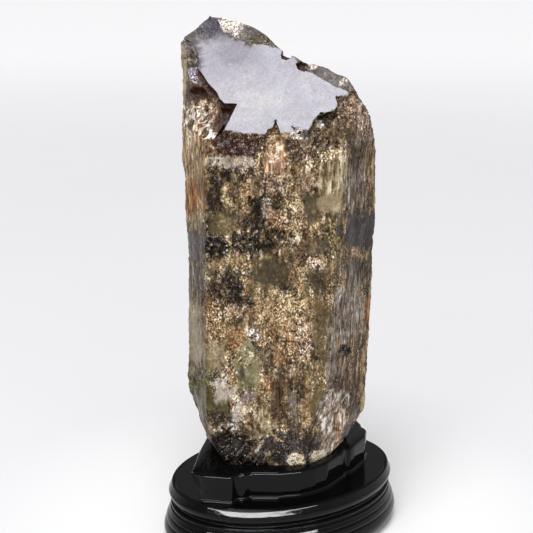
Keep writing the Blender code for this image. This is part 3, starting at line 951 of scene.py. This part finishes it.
def quartz_material():
    """Cloudy smoky quartz: the mesh's tints, broken up by granules, upright fibres and specks."""
    graph = Graph(bpy.data.materials.new("smoky_quartz"))
    times, plus, ramp, centred = graph.times, graph.plus, graph.ramp, graph.centred
    tint = graph.add("Attribute", attribute_name="tint")["Color"]
    grain_share, fibre_share, gloss = graph.attribute("surface")
    pale, broken, _ = graph.attribute("pale")

    grain = graph.noise((1250.0, 1250.0, 900.0), 2.0)
    clumps = graph.noise((340.0, 340.0, 200.0), distortion=0.5)
    patches = graph.noise((105.0, 105.0, 62.0), 3.0, 0.5, 0.4)
    calm = ramp(graph.noise((80.0, 80.0, 55.0), 2.0, 0.5, 0.6), 0.36, 0.62, 0.55, 1.25)
    fibre = graph.noise((850.0, 850.0, 80.0), 3.0, 0.65)
    facet_height, facet_tone = facet_nodes(graph, SPLINTER, SPLINTER_TURN)
    glint_height, glint_tone = facet_nodes(graph, GLINT, GLINT_TURN)

    # Colour: how many stops each point is lighter or darker than its tint, then specks
    signal = plus(
        centred(grain, graph.math("MAXIMUM", times(grain_share, calm, 13.5), times(pale, 6.0))),
        centred(clumps, ramp(gloss, 0.0, 1.0, 5.2, 2.0)),
        centred(patches, ramp(gloss, 0.0, 1.0, 3.2, 2.2)),
        centred(fibre, times(fibre_share, 9.5)),
        centred(facet_tone, times(broken, 5.5)),
    )
    signal = times(graph.math("SUBTRACT", signal, 0.32), ramp(pale, 0.2, 0.8, 1.0, 0.16))
    signal = graph.math("MINIMUM", signal, times(signal, 0.72))
    gains = [graph.math("POWER", 2.0, times(signal, power)) for power in GAIN_POWERS]
    gained = graph.add("CombineXYZ", dict(enumerate(gains)))[0]
    colour = graph.vector("MINIMUM", graph.mix(1.0, tint, gained, "MULTIPLY"), PALEST)
    rough_share = graph.math("MAXIMUM", grain_share, broken, times(fibre_share, 0.5))
    speck_share = times(rough_share, calm)
    for scale, *starts in SPECKS:
        painted_glint, dark_spot = speck_nodes(graph, scale, *starts)
        # Painted glints: pale specks laid into the colour stand in for light sparkling off the grains
        colour = graph.mix(times(painted_glint, speck_share, 0.5), colour, rgba("fleck"))
        colour = graph.mix(times(dark_spot, speck_share, 0.6), colour, rgba("black"))
    (dust,) = speck_nodes(graph, 420.0, 0.9)
    colour = graph.mix(times(dust, pale, 0.45), colour, rgba("white"))

    # Gloss and relief: a thin coat shines on the shell-like breaks and on single grains
    glints = times(rough_share, 0.85, ramp(glint_tone, 0.74, 0.8))
    roughness = plus(ramp(gloss, 0.0, 1.0, 0.5, 0.28), times(pale, 0.3))
    roughness = graph.math("ADD", roughness, centred(clumps, 0.3), clamp=True)
    height = plus(
        times(grain, grain_share),
        times(fibre_share, 0.6, fibre),
        times(clumps, ramp(pale, 0.2, 0.8, 0.6, 0.05)),
        times(broken, 1.3, facet_height),
    )
    bump = graph.bump(height, 0.8, 0.0009)
    shine = graph.math("SUBTRACT", gloss, pale, clamp=True)
    return graph.finish({
        "Base Color": colour,
        "Roughness": roughness,
        "IOR": 1.54,
        "Specular IOR Level": 0.07,
        "Normal": bump,
        "Coat Weight": graph.math("MAXIMUM", times(shine, 0.12), glints),
        "Coat Roughness": 0.13,
        "Coat IOR": 1.55,
        "Coat Normal": graph.bump(glint_height, 1.0, 0.0011, Normal=bump),
    })


def facet_nodes(graph, size, turn):
    """Splinters of a size, turned as a whole: the height of each one's own tilted plane, and its own tone."""
    mapping = {"Vector": graph.place(), "Rotation": turn, "Scale": size}
    place = graph.add("Mapping", mapping, vector_type="TEXTURE")[0]
    _, middle, own = graph.cells(place)
    tilt = graph.vector("SUBTRACT", own, (0.5, 0.5, 0.5))
    height = graph.vector("DOT_PRODUCT", graph.vector("SUBTRACT", place, middle), tilt, out="Value")
    return height, graph.parts(own)[2]


def speck_nodes(graph, scale, *starts):
    """Round specks on some of the cells, one sort for each start: the higher it is, the fewer there are."""
    distance, _, own = graph.cells(graph.vector("MULTIPLY", graph.place(), (scale, scale, scale * 0.84)))
    spot, picks = graph.ramp(distance, 0.44, 0.2), graph.parts(own)
    return [graph.times(spot, graph.ramp(pick, start, start + 0.06)) for pick, start in zip(picks, starts)]


def lacquer_material():
    """Black lacquer: deep gloss with a faint waviness and a little dust in its sheen."""
    graph = Graph(bpy.data.materials.new("black_lacquer"))
    dust = graph.noise((900.0, 900.0, 900.0))
    dusty = graph.times(graph.ramp(dust, 0.62, 0.78), 0.25)
    return graph.finish({
        "Base Color": graph.mix(dusty, (0.0018, 0.0017, 0.0021, 1.0), (0.012, 0.011, 0.013, 1.0)),
        "Roughness": graph.ramp(dust, 0.35, 0.75, 0.03, 0.08),
        "IOR": 1.45,
        "Specular IOR Level": 0.18,
        "Normal": graph.bump(graph.noise((60.0, 60.0, 90.0), 2.0, 0.5), 0.05, 0.002),
    })


FLOOR_TONES = ((0.77, 0.765, 0.78, 1.0), (0.81, 0.805, 0.82, 1.0))
# Painted light: the floor is lighter near the stand and far away than between them
FLOOR_NEAR_PAINTED_LIGHT, FLOOR_FAR_PAINTED_LIGHT = (0.88, 0.88, 0.88, 1.0), (0.97, 0.97, 0.975, 1.0)


def floor_material():
    """A pale floor with painted light and shade: lighter near the stand, a little lighter far away, and
    darker between.
    """
    graph = Graph(bpy.data.materials.new("pale_floor"))
    colour = graph.mix(graph.noise((2.5, 2.5, 2.5), 3.0, 0.5), *FLOOR_TONES)
    distance = graph.vector("LENGTH", graph.place(), out="Value")
    colour = graph.mix(graph.ramp(distance, 0.2, 0.09), colour, FLOOR_NEAR_PAINTED_LIGHT)
    colour = graph.mix(graph.ramp(distance, 0.9, 3.0), colour, FLOOR_FAR_PAINTED_LIGHT)
    return graph.finish({"Base Color": colour, "Roughness": 0.7, "Specular IOR Level": 0.2})


# ---- stand, in mm

TOP_LONG_RADIUS, TOP_SHORT_RADIUS = 61.4, 45.8
STAND_TURN = math.radians(30)
STAND_TOP = 32.0
TURNED_STEPS = 200
PROFILE_CUTS = 4
FLAT_LENGTH = 8.0

FOOT_PROFILE = (
    (0.0, 32.0), (60.8, 32.0), (61.3, 31.4), (61.8, 31.75), (62.4, 31.55), (62.68, 31.1), (62.9, 30.6),
    (63.97, 28.25), (64.18, 27.8), (64.3, 26.9), (63.7, 25.1), (62.4, 23.7), (61.4, 22.7), (61.4, 21.7),
    (63.0, 21.0), (63.4, 20.0), (62.8, 19.1), (63.0, 18.6), (63.6, 18.15), (63.8, 17.7), (64.5, 16.15),
    (64.7, 15.7), (64.6, 15.2), (65.3, 14.2), (66.0, 12.4), (65.9, 11.5), (66.6, 10.3), (67.2, 8.4),
    (67.3, 6.5), (66.7, 4.4), (65.2, 2.9), (63.2, 2.2), (62.4, 1.6), (62.0, 0.0), (0.0, 0.0),
)
COLLAR_OUTLINE = (
    (-47.4, -38.4), (-26.6, -44.5), (-16.6, -38.8), (-2.4, -39.0), (9.0, -36.3), (17.0, -32.0),
    (23.8, -26.4), (31.0, -15.7), (39.2, -4.6), (46.3, 8.2), (47.6, 16.5), (43.5, 30.0), (33.0, 40.0),
    (19.0, 44.0), (-8.0, 42.0), (-23.0, 36.0), (-35.0, 25.0), (-40.0, 15.0), (-44.2, -10.0),
)
FRONT_LEFT_FOOT = (-41.0, -42.0)
FOOT_TAPER = 0.985
FLUTES = (
    (-21.4, -44.6, 4.2), (37.6, -12.0, 4.5), (49.5, 23.0, 4.5), (26.0, 45.6, 4.5), (-16.5, 43.5, 4.5),
    (-43.0, 21.5, 4.5),
)
# The collar's section: (height, how far outside its outline)
COLLAR_SECTION = (
    (30.0, 1.3), (32.05, 1.3), (32.3, 0.6), (32.9, 0.15), (33.8, 0.0), (45.4, 0.0), (45.55, -0.04),
    (46.4, -0.36), (46.5, -0.42), (46.85, -0.8), (47.0, -1.5),
)
COLLAR_STEP = 1.0


def rounded_profile():
    """The foot's moulding as a smooth line through its points, straight where they are far apart."""
    points = [Vector(point) for point in FOOT_PROFILE]
    line = []
    for i in range(len(points) - 1):
        a, b = points[i], points[i + 1]
        before = points[i - 1] if i > 0 else a
        after = points[i + 2] if i + 2 < len(points) else b
        leave = (b - before) / 2 if i > 0 and (a - before).length < FLAT_LENGTH else b - a
        arrive = (after - a) / 2 if (after - b).length < FLAT_LENGTH else b - a
        cuts = 1 if (b - a).length > FLAT_LENGTH else PROFILE_CUTS
        for k in range(cuts):
            t = k / cuts
            blend = (2 * t**3 - 3 * t**2 + 1, t**3 - 2 * t**2 + t, -2 * t**3 + 3 * t**2, t**3 - t**2)
            line.append(a * blend[0] + leave * blend[1] + b * blend[2] + arrive * blend[3])
    return line + [points[-1]]


def turned_foot():
    """The foot, turned round and then flattened to an oval."""
    profile = rounded_profile()
    bm = bmesh.new()
    rings = []
    for radius, height in profile:
        if radius < 0.01:
            rings.append([bm.verts.new((0.0, 0.0, height))] * TURNED_STEPS)
            continue
        turn = [2 * math.pi * k / TURNED_STEPS for k in range(TURNED_STEPS)]
        rings.append([bm.verts.new((radius * math.cos(a), radius * math.sin(a), height)) for a in turn])
    for upper, lower in zip(rings, rings[1:]):
        for k in range(TURNED_STEPS):
            corners = (upper[k], lower[k], lower[(k + 1) % TURNED_STEPS], upper[(k + 1) % TURNED_STEPS])
            bm.faces.new(list(dict.fromkeys(corners)))
    flatten = Matrix.Diagonal((1.0, TOP_SHORT_RADIUS / TOP_LONG_RADIUS, 1.0, 1.0))
    bm.transform(Matrix.Rotation(STAND_TURN, 4, "Z") @ flatten)
    return bm


def stretches(outline):
    """The two ends of each stretch of a closed outline."""
    return [(Vector(a), Vector(b)) for a, b in zip(outline, outline[1:] + outline[:1])]


def sampled(outline, counts):
    """Points along a closed outline, evenly spaced on each of its stretches."""
    return [a.lerp(b, k / count) for (a, b), count in zip(stretches(outline), counts) for k in range(count)]


def pushed_out(point):
    for x, y, radius in FLUTES:
        away = point - Vector((x, y))
        if away.length < radius:
            point = Vector((x, y)) + away.normalized() * radius
    return point


def collar():
    """The raised collar: lobes parted by flutes, with an eased top edge and a small cove at its foot."""
    counts = [max(2, round((a - b).length / COLLAR_STEP)) for a, b in stretches(COLLAR_OUTLINE)]
    foot_outline = [FRONT_LEFT_FOOT] + [(x * FOOT_TAPER, y * FOOT_TAPER) for x, y in COLLAR_OUTLINE[1:]]
    top, foot = sampled(COLLAR_OUTLINE, counts), sampled(foot_outline, counts)
    bm = bmesh.new()
    rings = []
    for height, outset in COLLAR_SECTION:
        share = min(1.0, max(0.0, (height - STAND_TOP) / (COLLAR_TOP - STAND_TOP)))
        ring = [pushed_out(low.lerp(high, share)) for low, high in zip(foot, top)]
        placed = []
        for i, point in enumerate(ring):
            along = ring[(i + 1) % len(ring)] - ring[i - 1]
            outward = Vector((along.y, -along.x)).normalized()
            placed.append(bm.verts.new((*(point + outward * outset), height)))
        rings.append(placed)
    for lower, upper in zip(rings, rings[1:]):
        for i in range(len(lower)):
            j = (i + 1) % len(lower)
            bm.faces.new((lower[i], lower[j], upper[j], upper[i]))
    bm.faces.new(rings[0][::-1])
    bm.faces.new(rings[-1])
    return bm


def socket():
    floor = (Vector((0, 0, SOCKET_FLOOR)), Vector((0, 0, -1)))
    lid = (Vector((0, 0, COLLAR_TOP + 20.0)), Vector((0, 0, 1)))
    return cut_block([*prism_planes(SOCKET_GAP), *root_planes(SOCKET_GAP), floor, lid])


def make_stand():
    stand = helper(turned_foot(), "stand_fine")
    combine(stand, [helper(collar(), "collar")], "UNION")
    combine(stand, [helper(socket(), "socket")])
    stand.data.transform(Matrix.Scale(MM, 4))
    finish_mesh(stand.data, lacquer_material())
    return stand


# ---- floor and light

FLOOR_HALF = 8.0
SKY = (0.98, 0.965, 1.0, 1.0)
# The sky's strength at the horizon, and from this height up
SKY_AT_HORIZON, SKY_ABOVE, SKY_HEIGHT = 0.92, 0.3, 0.2
# Name, kind, power, place in metres, what it points at, roll, and its own settings
LAMPS = (
    ("overhead", "SUN", 2.4, (-0.12, -0.55, 1.2), (0, 0, 0), 0.0, {"angle": math.radians(34)}),
    ("key", "AREA", 0.6, (-0.45, -0.85, 0.8), (0, 0, 0.15), 0.0, {"shape": "DISK", "size": 0.12}),
    # The strip leans the way the oval foot's moulding does, so that its whole front shines
    ("strip", "AREA", 86.0, (0.0, -2.5, 0.623), (0, 0, 0.03), math.radians(-5.5),
     {"shape": "RECTANGLE", "size": 6.25, "size_y": 0.08}),
)


def make_floor():
    bm = bmesh.new()
    bmesh.ops.create_grid(bm, x_segments=8, y_segments=8, size=FLOOR_HALF)
    mesh = bpy.data.meshes.new("floor")
    bm.to_mesh(mesh)
    bm.free()
    mesh.materials.append(floor_material())
    floor = put("floor", mesh)


def make_lamp(name, kind, power, place, target, roll, settings):
    data = bpy.data.lights.new(name, kind)
    data.energy = power
    for key, value in settings.items():
        setattr(data, key, value)
    lamp = put(name, data)
    lamp.location = place
    turn = (Vector(target) - Vector(place)).to_track_quat("-Z", "Y") @ Quaternion((0.0, 0.0, 1.0), roll)
    lamp.rotation_euler = turn.to_euler()


def make_light():
    world = bpy.data.worlds.new("studio")
    graph = Graph(world)
    up = graph.add("SeparateXYZ", {"Vector": graph.add("TexCoord")["Generated"]})["Z"]
    dimming = {"Value": up, "From Max": SKY_HEIGHT, "To Min": SKY_AT_HORIZON, "To Max": SKY_ABOVE}
    strength = graph.add("MapRange", dimming)["Result"]
    sky = graph.add("Background", {"Color": SKY, "Strength": strength})[0]
    graph.add("OutputWorld", {"Surface": sky})
    bpy.context.scene.world = world
    for lamp in LAMPS:
        make_lamp(*lamp)
    bpy.context.scene.view_settings.view_transform = "Standard"


# ---- all of it

make_camera()
make_floor()
make_light()

crystal = make_crystal()
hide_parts("crystal")
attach(crystal, "root")

stand = make_stand()
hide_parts("stand")
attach(stand, "root")
